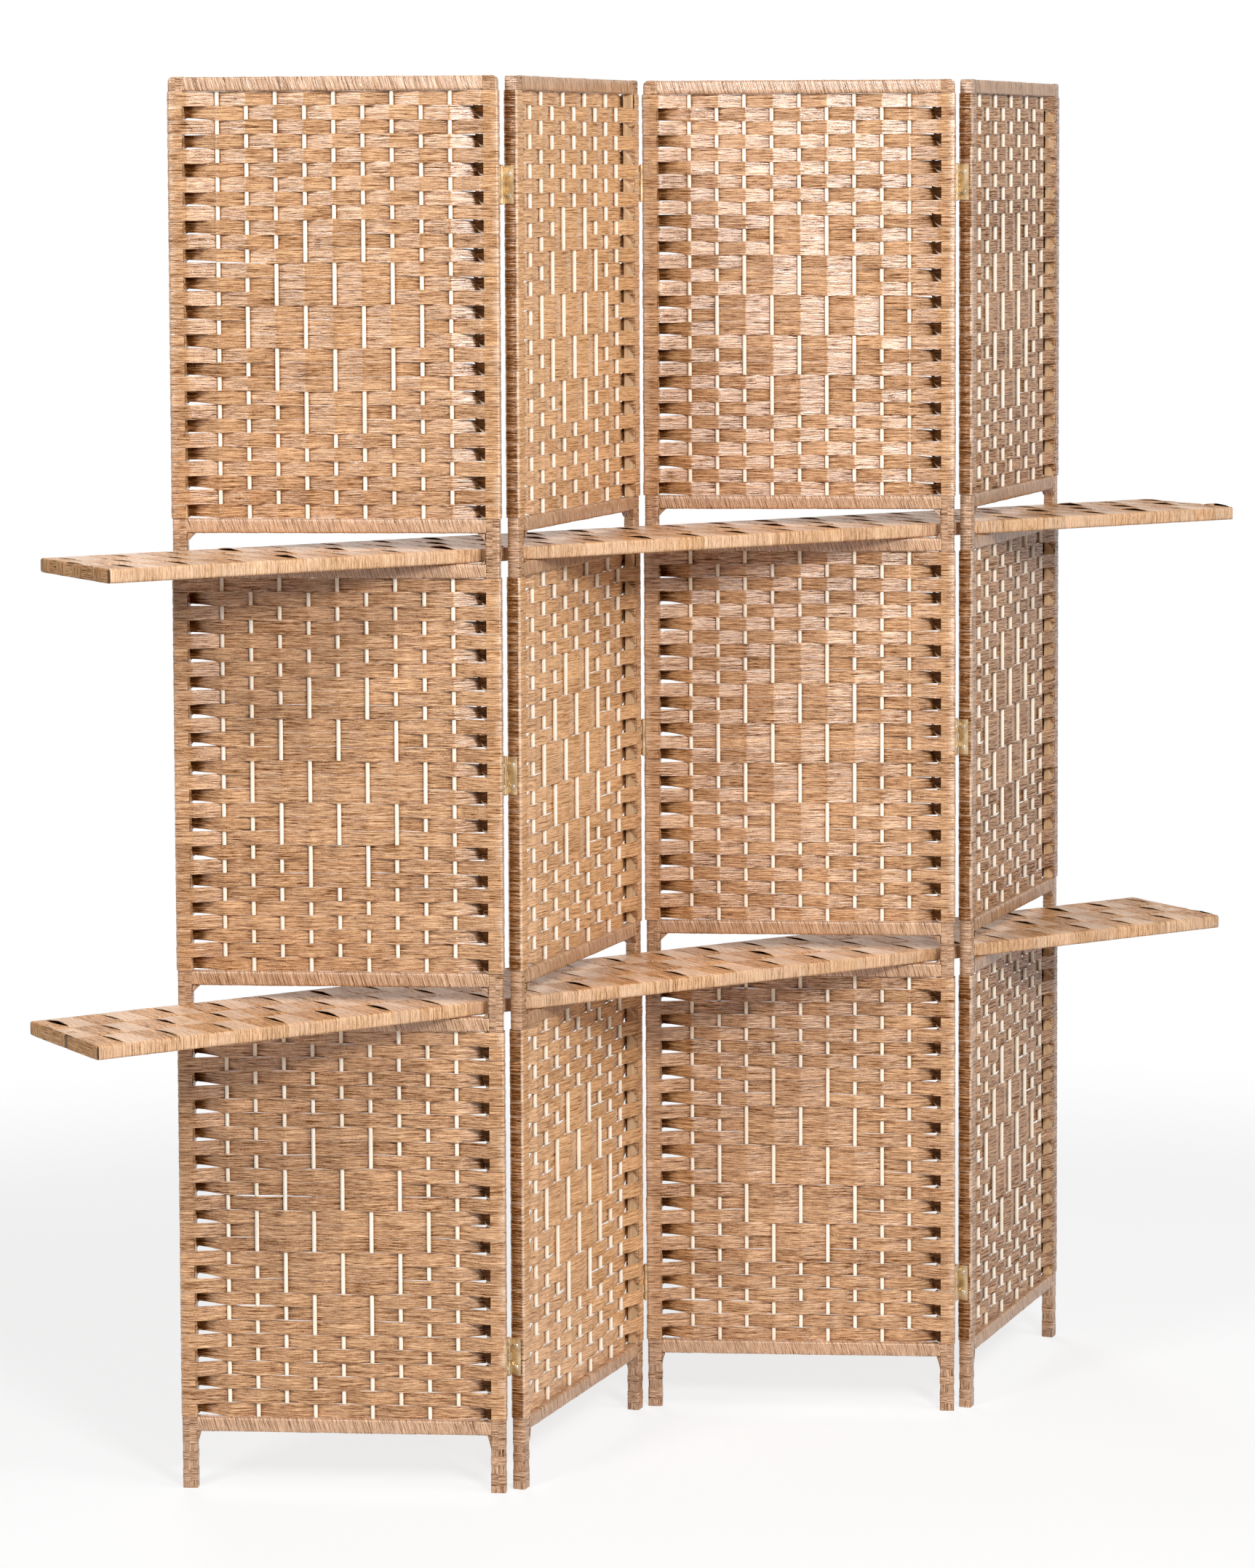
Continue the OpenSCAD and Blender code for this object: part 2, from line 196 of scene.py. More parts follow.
def path_normals(path):
    """Unit normals on the right-hand side of a path in a plane."""
    step = np.gradient(path, axis=0)
    normal = np.stack([step[:, 1], -step[:, 0]], -1)
    return normal / np.linalg.norm(normal, axis=1)[:, None]


def band(
    cloth, path, low, high, thickness, rng,
    across=(0, 1, 2), lines=BAND_LINES, cup=0.0, lift=0.0, pale=0.0, shade=(0.0, 0.0),
):
    """A flat strip that follows a path in a plane, with its edges at low and high across it.
    across gives the order of (path, path, across) as x, y and z. cup bends its middle out, and
    lift moves each point out. pale says how far each point is paled, a painted highlight, and
    shade how far painted shade moves the tint of the front and of the back along the path."""
    path = np.asarray(path, float)
    normal = path_normals(path)
    share = np.linspace(0, 1, lines)
    run = run_along(path)
    offset = cup * arch(share)[None, :] * np.ones((len(path), 1)) + lift
    low, high = (np.broadcast_to(edge, len(path))[:, None] for edge in (low, high))
    place = low * (1 - share) + high * share
    start = rng.uniform(0, STRAND_SPREAD, 2)
    tint = rng.uniform(0, 1)
    tints = [np.broadcast_to(tint + np.reshape(s, (-1, 1)), (len(path), lines)) for s in shade]
    pale = np.broadcast_to(pale, (len(path), lines))

    def side(out):
        flat = path[:, None, :] + normal[:, None, :] * (offset + out)[:, :, None]
        points = np.concatenate([flat, place[:, :, None]], -1)
        return points[..., np.argsort(across)]

    front = side(thickness / 2)
    back = side(-thickness / 2)
    sideways = place - place[:, :1].mean()
    strands = stack(run[:, None] + start[0] * METRE, sideways + start[1] * METRE) * MM
    cloth.grid(front, strands, tints[0], pale)
    cloth.grid(back[:, ::-1], strands[:, ::-1], tints[1], pale[:, ::-1])
    for edge in (0, lines - 1):
        rim = np.stack([front[:, edge], back[:, edge]], 1)
        along = np.stack([strands[:, edge], strands[:, edge] + RIM_SHIFT], 1)
        order = -1 if edge == 0 else 1
        cloth.grid(rim[:, ::order], along[:, ::order], tint, pale[:, edge : edge + 1])


def arc(x, y, radius, start, points):
    """Points on a quarter circle round (x, y), counter-clockwise from an angle in degrees."""
    angles = [math.radians(start + 90 * i / (points - 1)) for i in range(points)]
    return [(x + radius * math.cos(a), y + radius * math.sin(a)) for a in angles]


def refine(loop, parts_for):
    """A path with each of its steps divided into parts_for(its length) parts."""
    loop = np.array(loop, float)
    dense = [loop[0]]
    for a, b in zip(loop[:-1], loop[1:]):
        parts = parts_for(math.dist(a, b))
        dense += [a + (b - a) * i / parts for i in range(1, parts + 1)]
    return np.array(dense)


def rounded_loop(half_x, half_y, radius, points=5, sides=4):
    """A closed path round a rectangle with round corners, counter-clockwise from the middle of
    its lower side, so that its normals point out."""
    loop = [(0, -half_y)]
    for x, y, start in ((1, -1, -90), (1, 1, 0), (-1, 1, 90), (-1, -1, 180)):
        loop += arc(x * (half_x - radius), y * (half_y - radius), radius, start, points)
    loop.append((0, -half_y))
    return refine(loop, lambda length: sides if length > radius else 1)


# The weave

SWING = STICK_D / 2 + WEFT_FIT + WEFT_T / 2  # from the middle of a stick to that of a weft
BAND_T = 0.6
REACH_X = STILE_IN - 2 * WEFT_T  # where a weft leaves the sticks for the stile
WEFT_LINES = 9
TURN_R = 2.6  # corners of the turns on a stile
TURN_END = 1.2  # how far a turn ends from the inner edge of its stile
TURN_SLACK = {(2, 1): 0.7, (3, -1): 1.0, (3, 1): 0.4, (4, -1): 0.5, (1, 1): 0.3}  # panel, side
SLACK_SHARE = (0.3, 1)

# Where a weft has points: from the middle of a stick, between two sticks, and beside a stile
NEAR_STICK = (-2.6, -0.7, 0.7, 2.6)
BETWEEN_STICKS = (0.25, 0.5, 0.75)
NEAR_STILE = (145, 151, 157, 162, 166, 170, 173, REACH_X)
BEND_SPREAD = np.array([-0.6, 0, 0.6])  # a bend is averaged over these places

# How far a weft reaches past the line between it and the next one
ROW_GAP = -0.1
TURN_GAP = -0.12
STILE_OVERLAP = 0.35
OPEN_OVERLAP = (0.1, 0.6)  # at a stick that the two pass on opposite sides
CLOSED_OVERLAP = (-0.2, -0.05)
TIGHT_PINCH = (0, 0.4)  # where it goes behind a stile
UPPER_PINCH = (0.6, 3.2)
LOWER_PINCH = (0.6, 3.6)
PINCH_X = (STILE_IN - 2, 165)
PINCH_KEPT = 0.9  # share of the pinch at the second place

# The diamond of long floats in a field: the row above it, and how many sticks it takes in on each
# side of the middle one, in steps of three rows
DIAMOND_TOP = (8, 8, 10)
DIAMOND_HALF = (1, 2, 3, 2, 1)
STEP_ROWS = 3

# The wider gaps in the photograph under a weft at its left: (panel, field, row): (end, width)
LONG_GAPS = {
    (1, 2, 12): (-90, 2.6), (1, 2, 3): (-150, 1.4), (1, 0, 12): (-34, 1.8), (1, 0, 20): (-70, 2.2),
    (3, 0, 25): (-66, 2.0), (3, 1, 15): (-120, 1.6), (3, 2, 9): (-145, 1.6), (1, 1, 14): (-140, 1.5),
}
LONG_GAP_FADE = 12
LONG_GAP_LEFT = 0.35  # share of the width at the end

# Slow waves of the rows: height, lengths along x and z, and how much of the phase
WAVES = ((0.55, 61, 83, 1), (0.4, 23, -47, 2))
PANEL_PHASE = 1.7
FIELD_PHASE = 2.9
WAVE_FADE = 40  # from a rail

CREASE = 0.13
CREASE_LENGTH = 32
STILE_CUP = 0.3
FIELD_CUP = 0.1

# Shifts of the tint that paint light and shade: painted light on panel 2, painted shade on panel 4,
# and painted shade in places that hardly get light
PANEL_SHADE = {2: 1.4, 4: -1.0}
SIDE_SHADE = -2.6
LOOP_SHADE = -7.0
TIGHT_LOOP_SHADE = -0.5
STICK_SHADE = -1.2
STICK_REACH = (4, 8)  # where the shade beside a stick begins to fade, and where it ends
BEHIND_STICK = (1.8, 3.0)
STILE_SHADE = -2.6
BEHIND_STILE = (3.4, 7.4)

# Painted highlights on the corners and edges of the turns round the stiles
HIGHLIGHT_EVEN = 0.9
HIGHLIGHT_ODD = 0.6
HIGHLIGHT_SHARE = (0.3, 1)
HIGHLIGHT_CORNER = 1.5  # middle of a corner's painted highlight, from the outer side
HIGHLIGHT_HALF = 1.2
HIGHLIGHT_DEPTH = 2.5
EDGE_HIGHLIGHT = 0.7

# The slack turns at the windows beside the stiles
LOOP_POINTS = 15
SLACK_BULGE = (9, 12.5)
TIGHT_BULGE = (0.6, 1.4)
LOOP_X = STILE_IN + 0.8
LOOP_ROUND = 0.8  # exponent of the bulge, less than 1 for a blunter turn
LOOP_DROP = (0.95, 1.05)
LOOP_TWIST = {1: 0.3, -1: 0.12}  # share of a row's height, at the right and left stile
TWIST_SHARE = (0.6, 1)
LOOP_GAP = 0.1
LOOP_LEAN = 0.4
LEAN_ACROSS = (-0.8, 0.6)
LOOP_HIGHLIGHT = 0.8  # painted highlight on its lower edge


def stick_x(i):
    return (i - (STICKS + 1) / 2) * STICK_PITCH


FIELD_STATIONS = np.array(sorted(
    [stick_x(i) + d for i in range(1, STICKS + 1) for d in NEAR_STICK]
    + [stick_x(i) + STICK_PITCH * s for i in range(1, STICKS) for s in BETWEEN_STICKS]
    + [side * x for side in (-1, 1) for x in NEAR_STILE]
))


def row_number(panel, row):
    """The row of the pattern. The second panel starts one row later."""
    return row + (1 if panel == 2 else 0)


def row_count(panel, field):
    return ROWS[field] - (1 if panel == 2 else 0)


def row_pitch(panel, field):
    return FIELD_H[field] / row_count(panel, field)


def row_top(panel, field, row):
    return FIELD_Z[field] + FIELD_H[field] - (row - 1) * row_pitch(panel, field)


def is_turned(field, row, i):
    """Whether a weft passes a stick on the other side than in a plain weave."""
    step, place = divmod(row - DIAMOND_TOP[field], STEP_ROWS)
    if place != 1 or not 0 <= step < len(DIAMOND_HALF):
        return False
    return abs(i - (STICKS + 1) / 2) <= DIAMOND_HALF[step]


def stick_side(field, row, i):
    """-1 where a weft passes before a stick, 1 where it passes behind it."""
    side = 1 if (row + i) % 2 == 0 else -1
    return -side if is_turned(field, row, i) else side


def is_on_stile(x):
    return np.abs(x) > REACH_X + 1


def stile_turn(side, slack):
    """Path of a weft round the outer side of a stile, from the front of its inner edge to the
    back of its inner edge."""
    out_x = PANEL_W / 2 - BAND_T / 2 + slack
    out_y = PANEL_D / 2 - BAND_T / 2
    in_x = STILE_IN + TURN_END
    points = [(in_x, -out_y), (STILE_X, -out_y)]
    points += arc(out_x - TURN_R, -(out_y - TURN_R), TURN_R, -90, 4)
    points.append((out_x, 0))
    points += arc(out_x - TURN_R, out_y - TURN_R, TURN_R, 0, 4)
    points += [(STILE_X, out_y), (in_x, out_y)]
    return np.array(points) * (side, 1)


def weft_y(field, number):
    """Middle line of a weft between the stiles, bent tightly round the sticks."""
    end = (-1 if number % 2 else 1) * (PANEL_D / 2 - BAND_T / 2)
    knots_x = [-REACH_X] + [stick_x(i) for i in range(1, STICKS + 1)] + [REACH_X]
    knots_y = [stick_side(field, number, i) * SWING for i in range(1, STICKS + 1)]
    return np.interp(FIELD_STATIONS[:, None] + BEND_SPREAD, knots_x, [end] + knots_y + [end]).mean(1)


def weft_path(panel, field, number, rng):
    """Round one stile, past the sticks and round the other stile."""
    inner = stack(FIELD_STATIONS, weft_y(field, number))
    slacks = [TURN_SLACK.get((panel, side), 0) * rng.uniform(*SLACK_SHARE) for side in (-1, 1)]
    left = stile_turn(-1, slacks[0])
    right = stile_turn(1, slacks[1])
    return np.concatenate([left[::-1], inner, right] if number % 2 else [left, inner, right[::-1]])


def weft_edge(field, number, other, x, pinch, rng):
    """How far a weft reaches past the line between it and the row beside it. It spreads where the
    two pass a stick on opposite sides, and narrows where it goes behind a stile."""
    left, right = (-pinch[0], -pinch[1]) if number % 2 == 0 else (STILE_OVERLAP, STILE_OVERLAP)
    at = [-PANEL_W / 2, -PINCH_X[0], -PINCH_X[1]]
    reach = [ROW_GAP, left, left * PINCH_KEPT]
    for i in range(1, STICKS + 1):
        if i > 1:
            at.append(stick_x(i) - STICK_PITCH / 2)
            reach.append(ROW_GAP)
        apart = other is not None and stick_side(field, other, i) != stick_side(field, number, i)
        at.append(stick_x(i))
        reach.append(rng.uniform(*(OPEN_OVERLAP if apart else CLOSED_OVERLAP)))
    at += [PINCH_X[1], PINCH_X[0], PANEL_W / 2]
    reach += [right * PINCH_KEPT, right, ROW_GAP]
    return np.interp(x, at, reach)


def wander(panel, field, x, z):
    """A slow drift of the rows up and down, which dies away at the rails."""
    phase = panel * PANEL_PHASE + field * FIELD_PHASE
    drift = sum(
        height * np.sin(x / long_x + z / long_z + share * phase)
        for height, long_x, long_z, share in WAVES
    )
    edge = np.minimum(z - FIELD_Z[field], FIELD_Z[field] + FIELD_H[field] - z)
    return drift * np.clip(edge / WAVE_FADE, 0, 1)


def weft_edges(panel, field, row, x, rng):
    """The heights of a weft's lower and upper edge along it."""
    last = row_count(panel, field)
    number = row_number(panel, row)
    above = number - 1 if row > 1 else None
    below = number + 1 if row < last else None
    over = (rng.uniform(*TIGHT_PINCH), rng.uniform(*UPPER_PINCH))
    under = (rng.uniform(*LOWER_PINCH), rng.uniform(*TIGHT_PINCH))
    high = weft_edge(field, number, above, x, over, rng)
    low = weft_edge(field, number, below, x, under, rng)
    if row == 1:
        high = np.minimum(high, ROW_GAP)
    if row == last:
        low = np.minimum(low, ROW_GAP)
    high[is_on_stile(x)] = TURN_GAP
    low[is_on_stile(x)] = TURN_GAP
    high = row_top(panel, field, row) + high
    low = row_top(panel, field, row) - row_pitch(panel, field) - low
    if (panel, field, row) in LONG_GAPS:
        end, gap = LONG_GAPS[panel, field, row]
        places = [-REACH_X - 1, -REACH_X, end, end + LONG_GAP_FADE]
        low = low + gap * np.interp(x, places, [0, 1, LONG_GAP_LEFT, 0])
    return low + wander(panel, field, x, low), high + wander(panel, field, x, high)


def weft_relief(path, rng):
    """How far each point of a weft is moved out: lengthwise ridges and furrows, which change
    slowly along it, and a middle that stands proud of its edges."""
    run = run_along(path)
    knots = np.arange(0, run[-1] + CREASE_LENGTH, CREASE_LENGTH)
    depth = rng.normal(0, CREASE, (len(knots), WEFT_LINES))
    ripple = stack(*(np.interp(run, knots, depth[:, j]) for j in range(WEFT_LINES)))
    x = path[:, 0]
    cup = np.where(is_on_stile(x), STILE_CUP, FIELD_CUP)
    from_stile = path - stack(np.sign(x) * STILE_X, 0)
    outward = np.where((path_normals(path) * from_stile).sum(1) < 0, -1, 1)
    return ripple + (cup * outward)[:, None] * arch(np.linspace(0, 1, WEFT_LINES))


def weft_highlights(panel, path, rng):
    """How pale each point of a weft is made: painted highlights at the corners and edges of its
    turns.
    """
    x, y = np.abs(path).T
    corner = np.abs(x - (PANEL_W / 2 - HIGHLIGHT_CORNER)) < HIGHLIGHT_HALF
    corner = corner & (y > PANEL_D / 2 - HIGHLIGHT_DEPTH)
    most = HIGHLIGHT_ODD if panel % 2 else HIGHLIGHT_EVEN
    corner_highlight = np.where(corner, most * rng.uniform(*HIGHLIGHT_SHARE), 0)
    edge = np.zeros(WEFT_LINES)
    edge[0], edge[-1] = rng.uniform(0, EDGE_HIGHLIGHT, 2) ** 2
    return np.maximum(corner_highlight[:, None], is_on_stile(x)[:, None] * edge)


def recess(x, deep):
    """How much painted shade darkens a face that lies deep in the weave, behind a stick or a stile.
    """
    from_stick = np.abs((x / STICK_PITCH + 0.5) % 1 - 0.5) * STICK_PITCH
    by_stick = (1 - rise(from_stick, *STICK_REACH)) * rise(deep, *BEHIND_STICK)
    return STICK_SHADE * by_stick + STILE_SHADE * rise(deep, *BEHIND_STILE)


def weft_shade(panel, path):
    """How far painted light and shade move the tint of a weft's front and back."""
    x, y = path.T
    facing = -path_normals(path)[:, 1]
    deep = y * np.sign(facing)
    # painted light over all of panel 2 and painted shade over all of panel 4
    painted_light_and_shade = np.full(len(path), float(PANEL_SHADE.get(panel, 0)))
    # painted shade on the outer side of the left stiles of panels 2 and 4
    if panel % 2 == 0:
        painted_light_and_shade[x < 1 - PANEL_W / 2] = SIDE_SHADE
    return [painted_light_and_shade + recess(x, d) * np.abs(facing) for d in (deep, -deep)]


def weft(cloth, panel, field, row, rng):
    path = weft_path(panel, field, row_number(panel, row), rng)
    low, high = weft_edges(panel, field, row, path[:, 0], rng)
    lift = weft_relief(path, rng)
    pale = weft_highlights(panel, path, rng)
    shade = weft_shade(panel, path)
    band(cloth, path, low, high, BAND_T, rng, lines=WEFT_LINES, lift=lift, pale=pale, shade=shade)


def stile_loop(cloth, panel, field, row, side, rng):
    """The slack turn that a weft takes across the inner side of a stile, down to the next row."""
    pitch = row_pitch(panel, field)
    top = row_top(panel, field, row)
    share = np.linspace(0, 1, LOOP_POINTS)
    swell = np.sin(math.pi * share)
    slack = panel % 2 == 1 and side > 0
    bulge = rng.uniform(*(SLACK_BULGE if slack else TIGHT_BULGE))
    x = side * (LOOP_X - bulge * swell**LOOP_ROUND)
    y = side * (PANEL_D / 2 - BAND_T / 2) * np.cos(math.pi * share)
    drop = pitch * smooth(share * rng.uniform(*LOOP_DROP))
    twist = LOOP_TWIST[side] * pitch * swell
    high = top - drop - LOOP_GAP - twist * rng.uniform(*TWIST_SHARE)
    low = top - pitch - drop + LOOP_GAP + twist * rng.uniform(*TWIST_SHARE)
    shift = wander(panel, field, x, top - pitch)
    path = stack(x, y)
    outward = 1 if -side * path_normals(path)[LOOP_POINTS // 2, 0] > 0 else -1
    lean = LOOP_LEAN * bulge * swell[:, None] * np.linspace(*LEAN_ACROSS, BAND_LINES)
    # painted highlight along the lower edge of the turn
    pale = np.zeros(BAND_LINES)
    pale[0] = LOOP_HIGHLIGHT
    # painted shade: strong on the slack turns deep in a window, slight on the tight ones
    shade = LOOP_SHADE if slack else TIGHT_LOOP_SHADE
    band(
        cloth, path, low + shift, high + shift, BAND_T, rng,
        lift=outward * lean, pale=pale, shade=(shade, shade),
    )


def weave(panel, field, finish):
    rng = np.random.default_rng(WEAVE_SEED * panel + field)
    cloth = Raffia()
    last = row_count(panel, field)
    for row in range(1, last + 1):
        weft(cloth, panel, field, row, rng)
        if row < last:
            side = 1 if row_number(panel, row) % 2 else -1
            stile_loop(cloth, panel, field, row, side, rng)
    piece = cloth.build(f"panel_{panel}_{FIELD_NAMES[field]}_wefts", place_on_panel(panel), finish)
    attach(piece, f"panel_{panel}")
    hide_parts(f"panel_{panel}_{FIELD_NAMES[field]}_weave")


# Bindings of the frame

WRAP_T = 0.7
RING_GAP = 0.05
RING_CUP = 0.25
RIDGE = 0.22  # height of the ridges on a rail
RIDGE_PITCH = 1.7
WAVE_PITCH = 15
RAIL_SLANT = 0.3
RAIL_STATIONS = 260
RAIL_TINT = (0.9, 1.5)
SLEEVE_GAP = 0.1
INSET = 0.35  # of a winding under its neighbours, or in a slot
SLOT_RING_H = 14
CROWN_TINT = 0.4
CAP_START = 3000  # along the strands
CORNER_TINT = 0.3
CORNER_HOLLOW = 0.6
CORNER_RIM = 0.8
CORNER_POINTS = 9
CORNER_LINES = 7
FACE_INSET = 0.2

# The windings of a leg: from, to, height of a turn (0 where the strands run upright), inset
LEG_WINDINGS = (
    (0.2, 9, 0, 0), (9, 24, 8, 0), (24, 34, 0, INSET),
    (34, 45, 11, 0), (45, 54, 0, INSET), (54, FIELD_Z[0], 11, 0),
)


def stile_rings(cloth, side, z_low, z_high, height, rng, inset):
    """Turns of raffia round a stile, one above the other."""
    off = WRAP_T / 2 + inset
    loop = rounded_loop(STILE_W / 2 - off, FRAME_D / 2 - off, EDGE_R) + [side * STILE_X, 0]
    count = max(1, round((z_high - z_low) / height))
    for i in range(count):
        low = z_low + (z_high - z_low) * i / count + RING_GAP
        high = z_low + (z_high - z_low) * (i + 1) / count - RING_GAP
        band(cloth, loop, low, high, WRAP_T, rng, cup=RING_CUP)


def upright_strands(cloth, side, z_low, z_high, rng, inset):
    """A patch of raffia whose strands run up and down a leg."""
    loop = rounded_loop(STILE_W / 2 - inset, FRAME_D / 2 - inset, EDGE_R) + [side * STILE_X, 0]
    levels = np.linspace(z_low, z_high, 4)
    points = stack(loop[:, :1], loop[:, 1:], levels)
    strands = stack(levels, run_along(loop)[:, None])
    cloth.grid(points, somewhere(strands, rng), rng.uniform(0, 1))


def crown(cloth, side, rng):
    """The round top of a stile."""
    base = SCREEN_H - CROWN_R
    arch_z = base + CROWN_R * np.sin(np.linspace(0, math.pi / 2, 7))
    levels = np.concatenate([[SCREEN_H - RAIL_H + SLEEVE_GAP], arch_z])
    rise = np.clip(levels - base, 0, CROWN_R)
    reach = STILE_W / 2 - CROWN_R + np.sqrt(CROWN_R**2 - rise**2)
    loop = rounded_loop(STILE_W / 2, FRAME_D / 2, EDGE_R)
    x = side * (np.minimum(side * loop[:, :1], reach) + STILE_X)
    points = stack(x, loop[:, 1:], levels)
    strands = stack(run_along(loop)[:, None], levels)
    cloth.grid(points[::-side], somewhere(strands[::-side], rng), CROWN_TINT)
    cap_x = np.linspace(-STILE_W / 2, STILE_W / 2 - CROWN_R, 3)
    cap_y = np.array([-FRAME_D / 2 + 0.5, FRAME_D / 2 - 0.5])
    cap = stack(side * (cap_x[:, None] + STILE_X), cap_y, SCREEN_H)[::side]
    cloth.grid(cap, (cap[:, :, :2] + CAP_START) * MM, CROWN_TINT)


def rail_sleeve(cloth, z_low, rng):
    """Raffia wound round a rail, its strands a little aslant and raised in ridges."""
    loop = rounded_loop(FRAME_D / 2 - RIDGE, RAIL_H / 2 - RIDGE, EDGE_R)
    half = STILE_IN - SLEEVE_GAP
    x = np.linspace(-half, half, RAIL_STATIONS)[:, None]
    run = run_along(loop)
    strand = x - RAIL_SLANT * (run - run[-1] / 2)
    ridge = 0
    for pitch in (RIDGE_PITCH, WAVE_PITCH):
        knots = np.arange(-half - 20, half + 20, pitch)
        ridge = ridge + np.interp(strand, knots, rng.uniform(-1, 1, len(knots))) * RIDGE
    ridge = ridge * np.clip((half - np.abs(x)) / 2, 0, 1)
    section = loop + path_normals(loop) * ridge[..., None]
    points = stack(x, section[..., 0], section[..., 1] + (z_low + RAIL_H / 2))
    cloth.grid(points, somewhere(stack(run, strand), rng), rng.uniform(*RAIL_TINT))


def frame_bindings(panel, finish):
    rng = np.random.default_rng(BINDING_SEED + panel)
    cloth = Raffia()
    for side in (-1, 1):
        for low, high, height, inset in LEG_WINDINGS:
            if height:
                stile_rings(cloth, side, low, high, height, rng, inset)
            else:
                upright_strands(cloth, side, low, high, rng, inset)
        for z in SLOT_Z:
            stile_rings(cloth, side, z - RAIL_H, z + SLOT_H + RAIL_H, SLOT_RING_H, rng, INSET)
        crown(cloth, side, rng)
    for z, height in zip(FIELD_Z, FIELD_H):
        rail_sleeve(cloth, z - RAIL_H, rng)
        rail_sleeve(cloth, z + height, rng)
    piece = cloth.build(f"panel_{panel}_bindings", place_on_panel(panel), finish)
    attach(piece, f"panel_{panel}")
    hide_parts(f"panel_{panel}_frame_binding")


def corner_wrap(cloth, side, z, width, height, rng):
    """Raffia laid slantwise across a corner, a little hollow between its two ends. A corner
    below z has a negative height."""
    up = math.copysign(1, height)
    share = np.linspace(0, 1, CORNER_POINTS)
    hollow = CORNER_HOLLOW * np.sin(math.pi * share) * 0.5
    line = stack(side * (STILE_IN - width * share + hollow), z + height * (1 - share) - up * hollow)
    half = FRAME_D / 2 - FACE_INSET
    y = np.linspace(-half, half, CORNER_LINES)
    rim = np.linspace(-1, 1, CORNER_LINES) ** 6 * CORNER_RIM
    points = stack(line[:, :1] + side * rim, y, line[:, 1:] - up * rim)
    strands = somewhere(stack((share * math.hypot(width, height))[:, None], y), rng)
    order = -1 if side * up > 0 else 1
    cloth.grid(points[::order], strands[::order], CORNER_TINT)
    corner = np.array([side * STILE_IN, z])
    fill = corner + (line - corner)[:, None, :] * np.linspace(0, 1, 4)[:, None]
    for face in (-1, 1):
        fan = stack(fill[..., 0], face * half, fill[..., 1])
        cloth.grid(fan, strands[:, :4], CORNER_TINT)


def corner_wraps(panel, finish):
    rng = np.random.default_rng(CORNER_SEED + panel)
    cloth = Raffia()
    for side in (-1, 1):
        corner_wrap(cloth, side, LEG_H, LEG_CORNER[0], -LEG_CORNER[1], rng)
        for z in SLOT_Z:
            corner_wrap(cloth, side, z, LOWER_CORNER[0], LOWER_CORNER[1], rng)
            corner_wrap(cloth, side, z + SLOT_H, UPPER_CORNER[0], -UPPER_CORNER[1], rng)
    piece = cloth.build(f"panel_{panel}_corner_wraps", place_on_panel(panel), finish)
    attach(piece, f"panel_{panel}")
    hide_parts(f"panel_{panel}_corner_bindings")


# Shelves

SHELF_BAND = 34.9
BAND_SHIFT = 6.5  # how far a band slants in a third of the depth
FIRST_SLIT = 20
SLIT_GAP = 9  # between the slits of two thirds
SLIT_WIDE = (1.0, 2.0)
SHELF_STEP = 3.5
BAND_GAP = -0.1
END_GAP = 1
SHORTEST_BAND = 2
THIRD_D = (SHELF_W - 2 * SHELF_EDGE_R) / 3
CURL = np.array([1, 0.6, 0.25, 0, 0, 0])  # of a band's edge at a slit
CURL_HEIGHT = (0.6, 1.8)
HUMP = 0.7  # behind the crease of a band
DIP = 0.5  # in the crease
DIP_HALF = 1.6
HUMP_RISE = 4
HUMP_LENGTH = 34
HUMP_FALL = 30
UNEVEN = 0.05
SHELF_CUP = 0.1
SQUARE_LIGHT = (0.5, 0.8)  # painted light on every second square of the top, for the slope of its bands
# painted highlight on the rounded front edge of a shelf
FRONT_HIGHLIGHT = (0.25, 0.6)

# Ends of the shelves: patches from, to, and whether their strands run over the end
END_REACH = 16
END_R = 2.2
END_CUP = 0.4
END_BULGE = 0.5
END_OUT = 0.1
UPPER_END = (
    (3, 17, False), (17, 44, True), (44, 70, False), (70, 97, True),
    (97, 113, False), (113, 142, True), (142, 156, False), (156, 182, True),
)
LOWER_END = (
    (3, 14, True), (14, 80, False), (88, 100, True), (100, 150, False), (150, 182, True),
)


def shelf_matrix(k):
    z = SLOT_Z[k] + SHELF_REST + SHELF_T / 2
    return Matrix.Translation(Vector((SCREEN_X + SHELF_X[k], 0, z)) * MM)


def shelf_path():
    """Round a shelf's section in y and z, from the middle of the underside."""
    loop = rounded_loop(SHELF_W / 2, SHELF_T / 2, SHELF_EDGE_R, sides=1)
    return refine(loop, lambda length: max(1, round(length / SHELF_STEP)))


